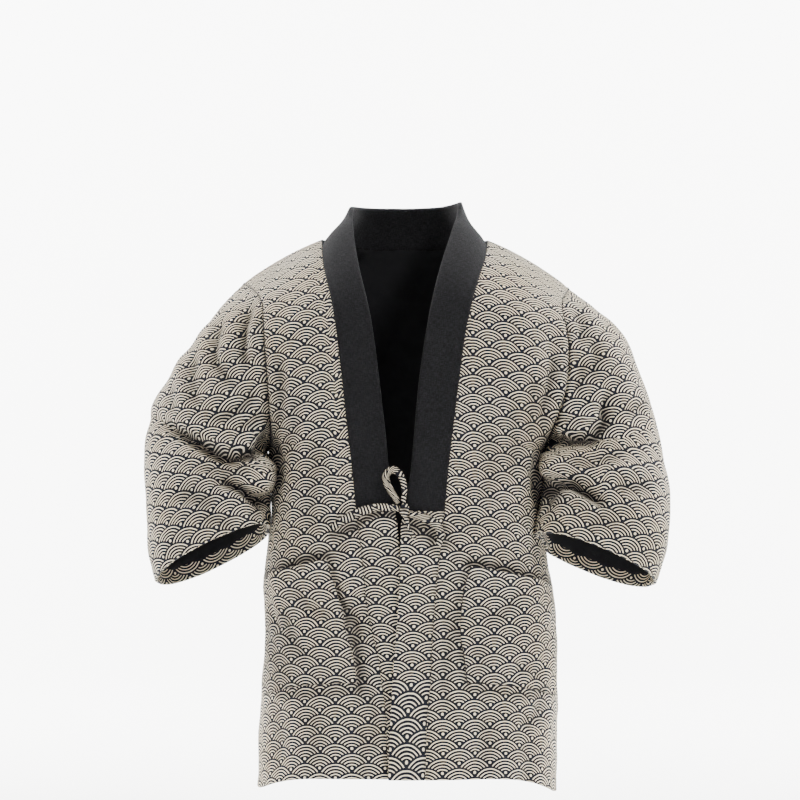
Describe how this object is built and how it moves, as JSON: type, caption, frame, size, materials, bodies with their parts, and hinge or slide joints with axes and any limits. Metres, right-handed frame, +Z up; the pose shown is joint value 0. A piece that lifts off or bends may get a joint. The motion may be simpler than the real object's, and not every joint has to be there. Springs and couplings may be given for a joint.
{
  "type": "hanten",
  "caption": "Short padded front-opening jacket with wide elbow-length sleeves, a long straight black collar, patch pockets and a tie at the waist, in a wave-scale print.",
  "frame": {"origin": "between the shoulders at the neck, where a wearer's shoulders hold the garment up, 18 mm under the neck ends of the shoulder seams", "axes": "+X to the viewer's right across the shoulders, -Y the way the front faces, +Z up"},
  "size_m": [0.6871, 0.2839, 0.7651],
  "materials": {
    "print_cloth": "matte printed cotton",
    "black_cloth": "matte slub cotton"
  },
  "bodies": {
    "root": {"back": "print_cloth", "front_left": "print_cloth", "front_right": "print_cloth", "sleeve_left_front": "print_cloth", "sleeve_left_back": "print_cloth", "sleeve_right_front": "print_cloth", "sleeve_right_back": "print_cloth", "band_left": "print_cloth", "band_right": "print_cloth", "pocket_left": "print_cloth", "pocket_right": "print_cloth", "tie_left": "print_cloth", "tie_right": "print_cloth", "tie_loop": "print_cloth", "tie_tail": "print_cloth", "tie_knot": "print_cloth", "collar": "black_cloth"}
  },
  "joints": []
}
